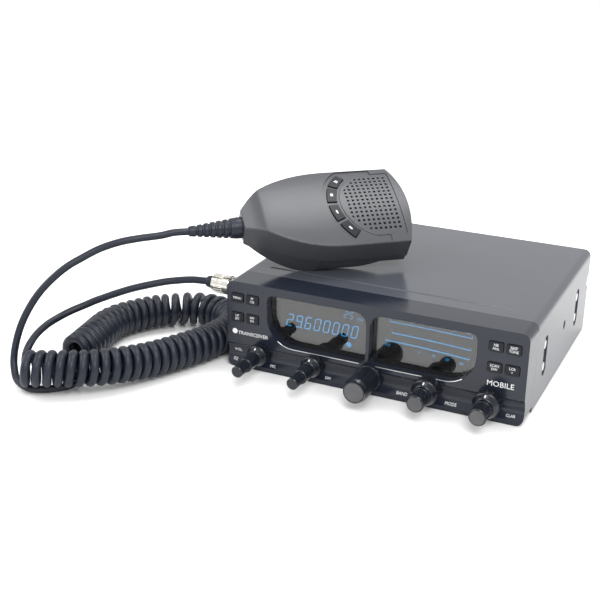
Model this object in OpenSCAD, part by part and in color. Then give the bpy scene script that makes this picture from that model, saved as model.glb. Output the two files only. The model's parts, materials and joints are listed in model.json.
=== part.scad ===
// Mobile transceiver: a wide, low radio with its hand microphone lying on the top cover and
// the microphone's curly cord beside it.
// X runs along the front panel to the right, Y from the front to the back and Z up.
// The origin is the middle of the underside. All sizes are in millimetres.

/* [Case] */
// Width of the case
case_w = 200; // [196:1:206]
// Height of the case
case_h = 60; // [60:1:64]
// Depth of the case, front panel to rear edge
case_d = 170; // [168:1:190]
// Depth of the moulded front bezel
bezel_d = 21; // [20:1:24]
// Radius of the long edges
edge_r = 5; // [3:0.5:6]
// Thickness of the cover sheet
sheet_t = 1.2; // [1:0.1:1.5]

/* [Front panel] */
// Height of the row of knobs above the base
knob_z = 13; // [12.5:0.5:14]
// Distance from one knob to the next
knob_pitch = 38.5; // [37:0.5:40]
// Sideways shift of the middle knob
knob_shift = 1.5; // [0:0.5:2]
// Depth of the two display windows
window_depth = 7; // [5:0.5:7]
// Width of a front key
key_w = 8.8; // [8:0.2:9]
// Height of a front key
key_h = 6.4; // [6:0.2:7]
// Travel of a front key
key_travel = 0.8; // [0.5:0.1:1]

/* [Microphone] */
// Length of the microphone body
mic_l = 116; // [112:1:118]
// Width of the microphone body
mic_w = 68; // [66:1:69]
// Height of the front shell at the crown
mic_crown_h = 20.7; // [19:0.1:21]
// Depth of the hump of the rear shell
mic_hump = 14; // [12:0.5:14]
// Wall thickness of the microphone shells
mic_wall = 2; // [1.6:0.1:2.2]

/* [Cord] */
// Diameter of the straight stretches of the microphone cable
cord_dia = 4.8; // [4.4:0.1:5.2]
// Outer diameter of the curly stretch
curl_dia = 24; // [22:0.5:24]

/* [Hidden] */

$fn = 64;
gap = 0.2;
fit = 0.05;
front_y = -case_d / 2;
seam_y = front_y + bezel_d;
rear_y = case_d / 2;
half_w = case_w / 2;

// Front wall of the bezel, with the cove that runs along under the windows
wall_front = 5;
wall_side = 2.5;
cove_top = 17;
cove_bottom = 3;
cove_deep = 2.5;
cove_r = (pow((cove_top - cove_bottom) / 2, 2) + pow(cove_deep, 2)) / (2 * cove_deep);

// Windows: an inner edge, an outer edge and the two levels, mirrored about window_mid
window_mid = -1.2;
window_in = 1.1;
window_out = 69.8;
window_low = 20;
window_high = 54.2;
lens_t = 1.5;
display_t = 4.5;

// Knobs: distances are measured out of the front face
knob_xs = [for (i = [-2:2]) knob_shift + i * knob_pitch];
sleeve_r = 3.5;
spindle_r = 2.1;
bushing_r = 4.5;
bushing_end = 2.6;
control_w = 12;
control_deep = 16;

// Front keys: columns and rows
key_cols = [-92.2, -81.4, 80.2, 91.0];
key_rows = [49.0, 35.6];
key_proud = 0.8;
key_r = 1.2;

// Side pockets for the cover screws, and the bracket holes
pocket_ys = [-40, 50];
pocket_z = 29;
pocket_len = 27;
pocket_wide = 9;
pocket_deep = 2;
screw_zs = [pocket_z - 7.5, pocket_z + 7.5];
bracket_y = 13;
bracket_z = 30;
bracket_r = 2.1;
chassis_half = 96.5;
chassis_wall = 4;
chassis_front = -60;
chassis_back = 62;

// Rear wall and what it carries
rear_wall_y = 64;
rear_wall_t = 6;
rear_face_y = rear_wall_y + rear_wall_t;
fin_pitch = 6;
fin_t = 2;
fin_from = 34;
fin_count = 11;
antenna_x = 20;
antenna_z = 30;
antenna_r = 7.9;
inlet_x = -16;
inlet_z = 22;
jack_xs = [-26, -12, 2];
jack_z = 46;
jack_r = 1.8;

// Loudspeaker
speaker_x = 42;
speaker_y = 10;
speaker_r = 33;

// Microphone plug on the left of the bezel
plug_y = front_y + 10.5;
plug_z = 52;

// Resting place of the microphone on the top cover
mic_pos = [-103.97, -58.48, 85.52];
mic_turn = 41;
mic_roll = 31;
// The microphone's own figures are drawn a little large and brought to size by this
mic_scale = 0.97;

// Microphone outline: two long arcs from the blunt cable end to parallel sides
nose_len = 64;
nose_half = 8.3;
nose_drop = mic_w / 2 - nose_half;
nose_r = (pow(nose_len, 2) + pow(nose_drop, 2)) / (2 * nose_drop);
end_sag = 5.5;
end_r = (pow(mic_w / 2, 2) + pow(end_sag, 2)) / (2 * end_sag);
crown_r = 122;
hump_corner_r = 8;
hump_x = 48;
hump_start = 3;
hump_r = (pow(hump_x, 2) + pow(mic_hump - hump_start, 2)) / (2 * (mic_hump - hump_start));
rear_flat = 5;
grille_x = 97;
grille_r = 29.5;
grille_half = 28;
recess_r = 41.2;
recess_half = 33;
hole_pitch = 3.5;
hole_size = 1.7;
mic_key_in = 31.4;
mic_key_out = 38;
mic_key_angles = [-38, -13, 13, 38];
mic_key_span = 21;
relief_z = 2.4;
relief_r = 7.4;
relief_end_r = 3.4;
relief_len = 36;
ptt_from = 27;
ptt_pivot_x = 60;
ptt_pivot_y = mic_w / 2 - 2.8;
ptt_low = 3;
ptt_high = 12;
ptt_pin_r = 1.2;
mic_screws = [[34, 0], [84, -29], [84, 29]];

// Cord routes
cord_sides = 10;
mic_exit = [-relief_len - fit, 0, relief_z];
handset_route = concat(
    [mic_point(mic_exit), mic_point(mic_exit - [10, 0, 0])],
    [[-143.5, -95, 86.3], [-153, -104, 85.7], [-163, -112, 84], [-173, -120, 80.4],
     [-181, -128.5, 75.6], [-188, -137, 70.5], [-195, -145, 62.8], [-200, -152, 54.8],
     [-203.6, -158, 46], [-206, -163, 37], [-207.2, -167, 28], [-208, -169.5, 19],
     [-206, -173, 12], [-201, -177, 6], [-192, -179.5, 3.6], [-184, -176.5, 2.7],
     [-176, -170, 2.6], [-170, -162, 2.8], [-171, -153, 4.5], [-177, -146, 8.5],
     [-184, -139, 12.2]]);
curl_route = [[-192, -182, 17.6], [-182, -177, 17.6], [-173, -171.5, 17.3],
    [-160, -162, 16.2], [-147, -147.5, 14.8], [-135.5, -128, 13], [-125.5, -106.5, 12.3],
    [-117.5, -86.6, 12.2], [-113, -66.4, 12.2], [-114.5, -50.4, 12.2], [-124.8, -37.6, 12.2],
    [-141, -33.2, 12.2], [-154.5, -35.9, 12.2], [-165.5, -43.6, 12.2], [-176.2, -53.4, 12.2],
    [-185, -67.6, 12.2], [-190, -79.9, 12.2], [-191, -92.3, 12.2], [-189, -105.6, 12.2],
    [-187, -117.7, 12.2], [-185, -130.6, 12.2], [-184, -139, 12.2]];
plug_exit_x = -half_w - 20.5;
plug_route = [[plug_exit_x, plug_y, plug_z],
    [-131, -77, 52], [-141.8, -81, 50.8], [-150.4, -86, 49.6], [-167, -97, 45.8],
    [-184, -108, 39.5], [-192, -114, 35.8], [-198.5, -122, 32.9], [-202.4, -130, 30.6],
    [-203.5, -141, 29.3], [-201.3, -155, 28.1], [-197.5, -167, 26.4], [-196, -172.6, 23],
    [-196.4, -173.9, 17.6]];

// ---- Helpers ----

function unit(v) = v / norm(v);

// Points of the arc that rounds corner b between a and c; each corner is [x, y, radius]
function corner_arc(a, b, c) =
    let (u = unit([a.x - b.x, a.y - b.y]),
         w = unit([c.x - b.x, c.y - b.y]),
         half = acos(u * w) / 2,
         centre = [b.x, b.y] + unit(u + w) * b.z / sin(half),
         p = [b.x, b.y] + u * b.z / tan(half) - centre,
         q = [b.x, b.y] + w * b.z / tan(half) - centre,
         from = atan2(p.y, p.x),
         sweep = atan2(q.y, q.x) - from,
         turn = sweep > 180 ? sweep - 360 : (sweep < -180 ? sweep + 360 : sweep))
    [for (i = [0:8]) centre + b.z * [cos(from + turn * i / 8), sin(from + turn * i / 8)]];

function rounded(corners) =
    let (n = len(corners))
    [for (i = [0:n - 1]) each corner_arc(corners[(i + n - 1) % n], corners[i],
                                         corners[(i + 1) % n])];

// A point given in the microphone's own axes, in the case's axes
function mic_point(p) =
    let (y = p.y * cos(mic_roll) - p.z * sin(mic_roll),
         z = p.y * sin(mic_roll) + p.z * cos(mic_roll))
    mic_pos + mic_scale * [p.x * cos(mic_turn) - y * sin(mic_turn),
                           p.x * sin(mic_turn) + y * cos(mic_turn), z];

// Catmull-Rom point at t between b and c
function spline(a, b, c, d, t) =
    0.5 * (2 * b + (c - a) * t + (2 * a - 5 * b + 4 * c - d) * t * t
           + (3 * b - a - 3 * c + d) * t * t * t);

function smooth(route, steps) =
    let (n = len(route),
         first = 2 * route[0] - route[1],
         last = 2 * route[n - 1] - route[n - 2])
    concat([for (i = [0:n - 2], s = [0:steps - 1])
        spline(i == 0 ? first : route[i - 1], route[i], route[i + 1],
               i == n - 2 ? last : route[i + 2], s / steps)], [route[n - 1]]);

// Closed tube of radius r along the points
module tube(points, r) {
    n = len(points);
    rings = [for (i = [0:n - 1])
        let (t = unit(points[min(i + 1, n - 1)] - points[max(i - 1, 0)]),
             u = unit(cross(t, abs(t.z) > 0.9 ? [1, 0, 0] : [0, 0, 1])),
             v = cross(t, u))
        for (k = [0:cord_sides - 1])
            points[i] + r * (u * cos(360 * k / cord_sides) + v * sin(360 * k / cord_sides))];
    sides = [for (i = [0:n - 2], k = [0:cord_sides - 1])
        let (m = (k + 1) % cord_sides)
        each [[i * cord_sides + k, i * cord_sides + m, (i + 1) * cord_sides + m],
              [i * cord_sides + k, (i + 1) * cord_sides + m, (i + 1) * cord_sides + k]]];
    caps = [[for (k = [cord_sides - 1:-1:0]) k],
            [for (k = [0:cord_sides - 1]) (n - 1) * cord_sides + k]];
    polyhedron(rings, concat(sides, caps));
}

// Extrudes a shape drawn in X and Z from y0 to y1
module along_y(y0, y1) {
    translate([0, y1, 0]) rotate([90, 0, 0]) linear_extrude(y1 - y0) children();
}

// Turns a shape that stands on Z to point along X
module along_x(x0) {
    translate([x0, 0, 0]) rotate([0, 90, 0]) children();
}

// Puts a shape that stands on Z on the front panel, pointing out of it
module on_front(x) {
    translate([x, front_y, knob_z]) rotate([90, 0, 0]) children();
}

module on_both_sides() {
    children();
    mirror([1, 0, 0]) children();
}

module round_rect(w, h, r) {
    square([w - 2 * r, h], center = true);
    square([w, h - 2 * r], center = true);
    for (sx = [-1, 1], sy = [-1, 1])
        translate([sx * (w / 2 - r), sy * (h / 2 - r)]) circle(r);
}

// Outline of the right-hand window in X and Z, grown by g
module window_outline(g) {
    translate([window_mid, 0])
        polygon(rounded([
            [window_in - g, window_low - g, 4 + g],
            [window_out + g, window_low - g, 19 + g],
            [window_out + g, window_high + g, 4 + g],
            [window_in - g, window_high + g, 8 + g]]));
}

module left_window_outline(g) {
    translate([2 * window_mid, 0]) mirror([1, 0]) window_outline(g);
}

// ---- Case ----

module top_cover() {
    color("dimgray") difference() {
        union() {
            difference() {
                along_y(seam_y + gap, rear_y) {
                    translate([0, case_h / 2]) round_rect(case_w, case_h, edge_r);
                    translate([-half_w, 0]) square([case_w, case_h / 2]);
                }
                along_y(seam_y, rear_y + 1) {
                    translate([0, case_h / 2])
                        round_rect(case_w - 2 * sheet_t, case_h - 2 * sheet_t, edge_r - sheet_t);
                    translate([sheet_t - half_w, -1]) square([case_w - 2 * sheet_t, case_h / 2]);
                }
                translate([-half_w - 1, front_y, -1]) cube([case_w + 2, case_d + 1, 1.6]);
            }
            on_both_sides() for (y = pocket_ys)
                side_pocket(y, half_w - pocket_deep - sheet_t, pocket_deep + sheet_t, 1.2);
        }
        on_both_sides() {
            for (y = pocket_ys) {
                side_pocket(y, half_w - pocket_deep, pocket_deep + 1, 0);
                for (z = screw_zs)
                    translate([half_w - 5, y, z]) rotate([0, 90, 0]) cylinder(h = 6, r = 1.7);
            }
            translate([half_w - 3, bracket_y, bracket_z]) rotate([0, 90, 0])
                cylinder(h = 4, r = 3);
            translate([half_w - 2, rear_y - 4, 33]) cube([3, 5, 8]);
        }
        translate([-85, seam_y + 13, case_h + 1.55]) rotate([0, 90, 0]) cylinder(h = 165, r = 2);
    }
}

// Upright stadium on the right side, starting at x0 and h deep
module side_pocket(y, x0, h, grow) {
    translate([x0, y, pocket_z]) rotate([0, 90, 0]) linear_extrude(h) {
        square([pocket_len - pocket_wide, pocket_wide + 2 * grow], center = true);
        for (s = [-1, 1])
            translate([s * (pocket_len - pocket_wide) / 2, 0]) circle(pocket_wide / 2 + grow);
    }
}

module bottom_cover() {
    color("dimgray") difference() {
        translate([-half_w + sheet_t + gap, seam_y + gap, 0])
            cube([case_w - 2 * (sheet_t + gap), rear_y - seam_y - 2 * gap, sheet_t]);
        for (i = [-4:4])
            translate([speaker_x - 20, speaker_y + i * 6 - 1.2, -1]) cube([40, 2.4, 4]);
    }
}

module chassis() {
    color("silver") difference() {
        union() {
            on_both_sides() {
                translate([chassis_half - chassis_wall, chassis_front, sheet_t + gap])
                    cube([chassis_wall, chassis_back - chassis_front, 54]);
                translate([chassis_half - chassis_wall - 4, bracket_y, bracket_z])
                    rotate([0, 90, 0])
                    cylinder(h = half_w - sheet_t - gap - chassis_half + chassis_wall + 4, r = 6);
            }
            translate([-chassis_half, chassis_front, 24])
                cube([2 * chassis_half, chassis_back - chassis_front, 2]);
        }
        translate([-70, -30, 23]) cube([60, 60, 4]);
        on_both_sides() {
            for (y = pocket_ys, z = screw_zs)
                translate([chassis_half - chassis_wall - 1, y, z]) rotate([0, 90, 0])
                    cylinder(h = chassis_wall + 2, r = 1.5);
            translate([chassis_half - chassis_wall - 5, bracket_y, bracket_z])
                rotate([0, 90, 0]) cylinder(h = 20, r = bracket_r);
        }
    }
}

module heat_sink() {
    reach = rear_y - 0.5 - rear_face_y;
    low = sheet_t + gap;
    high = case_h - 2 * (sheet_t + gap);
    color("silver") difference() {
        union() {
            along_y(rear_wall_y, rear_face_y) translate([0, low + high / 2])
                round_rect(case_w - 2 * sheet_t - 0.8, high, edge_r);
            for (side = [-1, 1], i = [0:fin_count - 1])
                translate([side * (fin_from + i * fin_pitch) - fin_t / 2, rear_face_y - 1, low])
                    cube([fin_t, reach + 1, high]);
        }
        translate([antenna_x, rear_wall_y - 1, antenna_z]) rotate([-90, 0, 0])
            cylinder(h = 20, r = antenna_r + 0.1);
        for (x = jack_xs)
            translate([x, rear_wall_y - 1, jack_z]) rotate([-90, 0, 0]) cylinder(h = 9, r = 3.1);
        translate([inlet_x - 11.1, rear_wall_y - 1, inlet_z - 6.1]) cube([22.2, 9, 12.2]);
    }
}

module case_screws() {
    color("gainsboro") on_both_sides() for (y = pocket_ys, z = screw_zs)
        translate([half_w - pocket_deep, y, z]) rotate([0, 90, 0]) difference() {
            union() {
                cylinder(h = 1.6, r = 2.8);
                translate([0, 0, -8]) cylinder(h = 8.5, r = 1.45);
            }
            for (a = [0, 90]) rotate([0, 0, a]) translate([-1.7, -0.4, 0.8]) cube([3.4, 0.8, 2]);
        }
}

// ---- Front ----

module front_bezel() {
    color("darkslategray") difference() {
        union() {
            difference() {
                along_y(front_y, seam_y)
                    translate([0, case_h / 2]) round_rect(case_w, case_h, edge_r);
                along_y(front_y + wall_front, seam_y + 1)
                    translate([0, case_h / 2])
                    round_rect(case_w - 2 * wall_side, case_h - 2 * wall_side, edge_r - wall_side);
            }
            along_y(front_y + wall_front - 1, front_y + window_depth + lens_t + gap / 2) {
                window_outline(1.1);
                left_window_outline(1.1);
            }
        }
        along_y(front_y - 1, front_y + window_depth + lens_t + 2) {
            window_outline(0);
            left_window_outline(0);
        }
        translate([-half_w - 1, front_y - cove_r + cove_deep, (cove_top + cove_bottom) / 2])
            rotate([0, 90, 0]) cylinder(h = case_w + 2, r = cove_r, $fn = 128);
        for (x = knob_xs) on_front(x)
            translate([0, 0, -wall_front - 1]) cylinder(h = wall_front + 2, r = bushing_r + 0.1);
        for (x = key_cols, z = key_rows)
            along_y(front_y - 1, front_y + wall_front + 1)
                translate([x, z]) round_rect(key_w + 0.6, key_h + 0.6, key_r + 0.3);
        translate([-half_w - 1, plug_y, plug_z]) rotate([0, 90, 0]) cylinder(h = 6, r = 4.7);
    }
}

module lens_right() {
    color([0.2, 0.25, 0.3, 0.6])
        along_y(front_y + window_depth, front_y + window_depth + lens_t) window_outline(-0.1);
}

module lens_left() {
    color([0.2, 0.25, 0.3, 0.6])
        along_y(front_y + window_depth, front_y + window_depth + lens_t)
        left_window_outline(-0.1);
}

// Display module behind a window; side is 1 for the right one
module display(side) {
    back = front_y + window_depth + lens_t + gap;
    wide = window_out - window_in - 6;
    middle = window_mid + side * (window_in + window_out) / 2;
    color("steelblue")
        translate([middle - wide / 2, back, window_low + 2])
        cube([wide, display_t, window_high - window_low - 4]);
}

module display_left() {
    display(-1);
}

module display_right() {
    display(1);
}

module front_board() {
    board_y = front_y + control_deep;
    switch_reach = control_deep - wall_front - key_travel - 1.6;
    color("darkgreen") {
        translate([-94, board_y, 4]) cube([188, 1.6, 52]);
        for (x = key_cols, z = key_rows)
            translate([x - 2.5, board_y - switch_reach, z - 2.5]) cube([5, switch_reach, 5]);
    }
}

// One front key, with the flange that keeps it in the bezel
module front_key(x, z) {
    color("black") {
        along_y(front_y - key_proud, front_y + wall_front + 1)
            translate([x, z]) round_rect(key_w, key_h, key_r);
        along_y(front_y + wall_front + 0.1, front_y + wall_front + 1.3)
            translate([x, z]) square([key_w + 1.2, key_h + 1.6], center = true);
    }
}

// The five rotary controls: a square body on the board and a bored bushing each
module control_bodies() {
    color("gray") for (i = [0:4]) on_front(knob_xs[i]) difference() {
        union() {
            translate([-control_w / 2, -control_w / 2, -control_deep])
                cube([control_w, control_w, 6]);
            translate([0, 0, -control_deep + 5])
                cylinder(h = control_deep - 5 - bushing_end, r = bushing_r);
        }
        translate([0, 0, 1 - control_deep])
            cylinder(h = control_deep, r = (i == 2 ? spindle_r : sleeve_r) + fit);
    }
}

// Flutes round a knob of radius r from z0 to z1
module flutes(count, r, z0, z1) {
    for (k = [0:count - 1]) rotate([0, 0, k * 360 / count])
        translate([r + 0.25, 0, z0]) cylinder(h = z1 - z0, r = 0.7, $fn = 16);
}

// Outer ring knob on its sleeve: a skirt, then a shoulder that tapers to the inner knob
module ring_knob(i, skirt_r, skirt_z, top_r, top_z) {
    color("black") on_front(knob_xs[i]) difference() {
        rotate_extrude() polygon([
            [spindle_r + fit, 1.5 - control_deep], [sleeve_r, 1.5 - control_deep],
            [sleeve_r, 0.5], [skirt_r, 0.5], [skirt_r, skirt_z], [skirt_r - 0.6, skirt_z + 0.6],
            [top_r, top_z - 0.5], [top_r - 0.5, top_z], [spindle_r + fit, top_z]]);
        flutes(18, skirt_r, 1.5, skirt_z - 0.4);
    }
}

// Inner knob on its spindle: a barrel from z0 to z1, then a slimmer grip up to z2
module inner_knob(i, z0, barrel_r, z1, grip_r, z2) {
    color("black") on_front(knob_xs[i]) difference() {
        rotate_extrude() polygon([
            [0, 2 - control_deep], [spindle_r, 2 - control_deep], [spindle_r, z0],
            [barrel_r, z0], [barrel_r, z1 - 0.5], [barrel_r - 0.5, z1], [grip_r, z1],
            [grip_r, z2 - 0.6], [grip_r - 0.6, z2], [0, z2]]);
        flutes(14, grip_r, z1 + 1, z2 - 1);
    }
}

module squelch_ring() {
    ring_knob(0, 7, 6, 5, 10);
}

module volume_knob() {
    inner_knob(0, 10.4, 4.8, 22.5, 3.8, 33.5);
}

module rf_gain_ring() {
    ring_knob(1, 7, 6, 5, 10);
}

module mic_gain_knob() {
    inner_knob(1, 10.4, 4.8, 22.5, 3.8, 33.5);
}

module band_ring() {
    ring_knob(3, 8.5, 8, 6.5, 12);
}

module mode_knob() {
    inner_knob(3, 12.4, 5.6, 14, 5.5, 25);
}

module fine_ring() {
    ring_knob(4, 8.5, 8, 6.5, 12);
}

module clarifier_knob() {
    inner_knob(4, 12.4, 5.6, 14, 5.5, 25);
}

module channel_spindle() {
    color("silver") on_front(knob_xs[2])
        translate([0, 0, 2 - control_deep]) cylinder(h = 36, r = spindle_r);
}

module channel_knob() {
    color("black") on_front(knob_xs[2]) difference() {
        rotate_extrude() polygon([
            [spindle_r + fit, 1.4], [8.5, 1.4], [8.5, 4], [8, 4.6], [8, 23], [7, 25.5],
            [7, 27], [0, 27], [0, 22.4], [spindle_r + fit, 22.4]]);
        flutes(20, 8, 5.2, 22.6);
    }
}

// ---- Inside ----

module main_board() {
    color("darkgreen") {
        translate([-86, -56, 28]) cube([172, 112, 1.6]);
        translate([-60, 20, 29]) cube([34, 22, 12]);
        translate([10, 24, 29]) cube([26, 26, 9]);
        translate([50, -30, 29]) cube([18, 18, 3]);
        translate([-20, -40, 29]) cube([24, 24, 2.6]);
        for (i = [0:5]) translate([-70 + i * 12, -24, 29]) cylinder(h = 11, r = 4);
    }
}

module speaker_frame() {
    color("gray") translate([speaker_x, speaker_y, sheet_t + gap]) rotate_extrude()
        polygon([[speaker_r - 4, 0], [speaker_r, 0], [speaker_r, 2], [speaker_r - 2, 2],
                 [16, 11], [16, 12.5], [14.4, 12.5], [14.4, 10], [speaker_r - 4, 1.4]]);
}

module speaker_cone() {
    color("black") translate([speaker_x, speaker_y, sheet_t + gap]) rotate_extrude()
        polygon([[0, 6], [10, 8.8], [speaker_r - 4.6, 0.8], [speaker_r - 4.6, 0.1],
                 [10, 7.8], [0, 5]]);
}

module speaker_magnet() {
    color("gray") translate([speaker_x, speaker_y, sheet_t + gap + 12.5]) {
        cylinder(h = 1.5, r = 17);
        translate([0, 0, 1.5]) cylinder(h = 7, r = 16);
    }
}

// ---- Connections ----

module mic_socket() {
    color("silver") translate([0, plug_y, plug_z]) along_x(-half_w - 8) difference() {
        union() {
            cylinder(h = 10.4, r = 4.6);
            translate([0, 0, 6.8]) cylinder(h = 1.1, r = 6);
        }
        translate([0, 0, -1]) cylinder(h = 9, r = 3.6);
    }
}

module mic_plug() {
    color("silver") translate([0, plug_y, plug_z]) along_x(-half_w - 15) {
        cylinder(h = 12, r = 3.55);
        cylinder(h = 6.8, r = 5);
    }
}

module plug_collar() {
    color("gainsboro") translate([0, plug_y, plug_z]) along_x(-half_w - 14.6) difference() {
        cylinder(h = 12, r = 6.5);
        translate([0, 0, -1]) cylinder(h = 14, r = 5 + fit);
        for (k = [0:23]) rotate([0, 0, k * 15])
            translate([6.7, 0, 2]) cylinder(h = 6, r = 0.45, $fn = 16);
    }
}

module plug_boot() {
    color("black") translate([0, plug_y, plug_z]) along_x(plug_exit_x) rotate_extrude()
        polygon([[0, 0], [3.4, 0], [4.1, 2], [4.1, 5.5], [0, 5.5]]);
}

module antenna_socket() {
    color("silver") translate([antenna_x, 0, antenna_z]) difference() {
        union() {
            translate([-11, rear_face_y, -11]) cube([22, 2, 22]);
            translate([0, rear_wall_y + 1, 0]) rotate([-90, 0, 0])
                cylinder(h = 24, r = antenna_r);
        }
        translate([0, rear_face_y + 6, 0]) rotate([-90, 0, 0]) cylinder(h = 14, r = 6);
        for (sx = [-1, 1], sz = [-1, 1]) translate([sx * 8.8, rear_face_y - 1, sz * 8.8])
            rotate([-90, 0, 0]) cylinder(h = 4, r = 1.3);
    }
    color("white") translate([antenna_x, rear_face_y + 6, antenna_z]) rotate([-90, 0, 0])
        difference() {
            cylinder(h = 11, r = 4.6);
            translate([0, 0, 1]) cylinder(h = 11, r = 2);
        }
}

module power_inlet() {
    color("black") translate([inlet_x, 0, inlet_z]) {
        difference() {
            translate([-11, rear_wall_y + 1, -6]) cube([22, 19, 12]);
            translate([-9.5, rear_face_y + 2, -4.5]) cube([19, 20, 9]);
        }
        for (s = [-1, 1]) translate([s * 6 - 0.6, rear_face_y + 1, -3]) cube([1.2, 10, 6]);
    }
}

module jack_sockets() {
    color("black") for (x = jack_xs) translate([x, rear_wall_y + 1, jack_z])
        rotate([-90, 0, 0]) difference() {
            union() {
                cylinder(h = 6, r = 3);
                translate([0, 0, 5]) cylinder(h = 3, r = 4.5);
            }
            translate([0, 0, -1]) cylinder(h = 10, r = jack_r);
        }
}

// ---- Cord ----

module handset_lead() {
    color("black") tube(smooth(handset_route, 1), cord_dia / 2);
}

module curly_cord() {
    color("black") tube(smooth(curl_route, 1), curl_dia / 2);
}

module plug_lead() {
    color("black") tube(smooth(plug_route, 1), cord_dia / 2);
}

// ---- Microphone, drawn along X with its face up ----

module on_mic() {
    translate(mic_pos) rotate([mic_roll, 0, mic_turn]) scale(mic_scale) children();
}

// Plan outline, shrunk by inset
module mic_plan(inset) {
    half = mic_w / 2;
    intersection() {
        translate([nose_len, half - nose_r]) circle(nose_r - inset, $fn = 180);
        translate([nose_len, nose_r - half]) circle(nose_r - inset, $fn = 180);
        translate([inset, -half]) square([nose_len - inset, mic_w]);
    }
    intersection() {
        translate([mic_l - end_r, 0]) circle(end_r - inset, $fn = 180);
        translate([nose_len, inset - half]) square([mic_l, mic_w - 2 * inset]);
    }
}

// Everything under the crown of the face, lowered by inset
module under_crown(inset) {
    along_x(-1) translate([crown_r - mic_crown_h, 0, 0])
        cylinder(h = mic_l + 2, r = crown_r - inset, $fn = 180);
}

// Everything under the face's fall towards the cable end, lowered by inset
module under_nose(inset) {
    translate([0, mic_w / 2, 0]) rotate([90, 0, 0]) linear_extrude(mic_w) {
        translate([22, mic_crown_h - 30]) circle(30 - inset, $fn = 120);
        translate([22, -1]) square([mic_l, mic_crown_h + 1 - inset]);
    }
}

// Everything above the rear shell's underside, raised by inset
module above_rear(inset) {
    intersection() {
        along_x(-1) linear_extrude(mic_l + 2)
            round_rect(2 * (mic_hump - inset), mic_w - 2 - 2 * inset, hump_corner_r - inset);
        translate([0, mic_w / 2, 0]) rotate([90, 0, 0]) linear_extrude(mic_w) {
            translate([hump_x, hump_r - mic_hump]) circle(hump_r - inset, $fn = 720);
            translate([0, inset - rear_flat]) square([mic_l + 1, rear_flat + 1]);
        }
    }
}

// Round-ended outline of the grille plate
module grille_outline(inset) {
    intersection() {
        translate([grille_x, 0]) circle(grille_r - inset, $fn = 120);
        translate([grille_x - grille_r, inset - grille_half])
            square([grille_r, 2 * (grille_half - inset)]);
    }
    translate([grille_x - 0.5, inset - grille_half])
        square([12.5 - inset, 2 * (grille_half - inset)]);
}

// Outline of one microphone key at an angle round the grille, grown by g
module mic_key_outline(angle, g) {
    side = mic_key_span / 2 + atan(g / mic_key_in);
    polygon(concat(
        [for (a = [-side:side / 4:side])
            [grille_x, 0] - (mic_key_out + g) * [cos(angle + a), sin(angle + a)]],
        [for (a = [side:-side / 4:-side])
            [grille_x, 0] - (mic_key_in - g) * [cos(angle + a), sin(angle + a)]]));
}

// Band that follows the curved far side, from one inset to a deeper one
module side_band(out, deep, x0, x1) {
    intersection() {
        difference() {
            translate([nose_len, mic_w / 2 - nose_r]) circle(nose_r - out, $fn = 180);
            translate([nose_len, mic_w / 2 - nose_r]) circle(nose_r - deep, $fn = 180);
        }
        translate([x0, 5]) square([x1 - x0, mic_w]);
    }
}

module handset_front_shell() {
    color("dimgray") on_mic() {
        difference() {
            union() {
                difference() {
                    intersection() {
                        linear_extrude(mic_crown_h + 1) mic_plan(0);
                        under_crown(0);
                        under_nose(0);
                    }
                    intersection() {
                        translate([0, 0, -1]) linear_extrude(mic_crown_h) mic_plan(mic_wall);
                        under_crown(mic_wall);
                        under_nose(mic_wall);
                    }
                }
                intersection() {
                    translate([0, 0, 0.5]) linear_extrude(14) side_band(0.5, 8, 24, 64);
                    under_crown(0.5);
                }
                intersection() {
                    for (p = mic_screws) translate([p.x, p.y, 0]) cylinder(h = 20, r = 2.6);
                    under_crown(1);
                }
            }
            difference() {
                translate([0, 0, 10]) linear_extrude(12) intersection() {
                    translate([grille_x, 0]) circle(recess_r, $fn = 120);
                    translate([50, -recess_half]) square([grille_x - 50, 2 * recess_half]);
                }
                under_crown(0.8);
            }
            translate([0, 0, 13]) linear_extrude(9) {
                grille_outline(-0.05);
                for (a = mic_key_angles) mic_key_outline(a, 0.3);
            }
            translate([0, 0, ptt_low - 0.4]) linear_extrude(ptt_high - ptt_low + 0.8)
                side_band(-3, 6.6, ptt_from - 1, ptt_pivot_x + 3.5);
            for (p = mic_screws) translate([p.x, p.y, -1]) cylinder(h = 10, r = 1.3);
            translate([-1, 0, relief_z]) rotate([0, 90, 0]) cylinder(h = 6, r = relief_r - 1);
        }
        translate([ptt_pivot_x, ptt_pivot_y, ptt_low - 1])
            cylinder(h = ptt_high - ptt_low + 2, r = ptt_pin_r);
    }
}

module handset_rear_shell() {
    color("dimgray") on_mic() difference() {
        union() {
            difference() {
                intersection() {
                    translate([0, 0, -mic_hump - 1]) linear_extrude(mic_hump + 1) mic_plan(0.8);
                    above_rear(0);
                }
                intersection() {
                    translate([0, 0, -mic_hump]) linear_extrude(mic_hump + 1)
                        mic_plan(0.8 + mic_wall);
                    above_rear(mic_wall);
                }
            }
            intersection() {
                for (p = mic_screws)
                    translate([p.x, p.y, -mic_hump]) cylinder(h = mic_hump - 0.1, r = 3.2);
                above_rear(1);
            }
        }
        for (p = mic_screws) {
            translate([p.x, p.y, -3.5]) cylinder(h = 6, r = 1.3);
            translate([p.x, p.y, -mic_hump - 1]) cylinder(h = mic_hump - 1.8, r = 2.5);
        }
        translate([-1, 0, relief_z]) rotate([0, 90, 0]) cylinder(h = 6, r = relief_r - 1);
    }
}

module handset_screws() {
    color("silver") on_mic() for (p = mic_screws) translate([p.x, p.y, 0]) difference() {
        union() {
            translate([0, 0, -4.4]) cylinder(h = 1.5, r = 2.4);
            translate([0, 0, -3.5]) cylinder(h = 10, r = 1.25);
        }
        for (a = [0, 90]) rotate([0, 0, a]) translate([-1.4, -0.35, -5]) cube([2.8, 0.7, 1.4]);
    }
}

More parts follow.
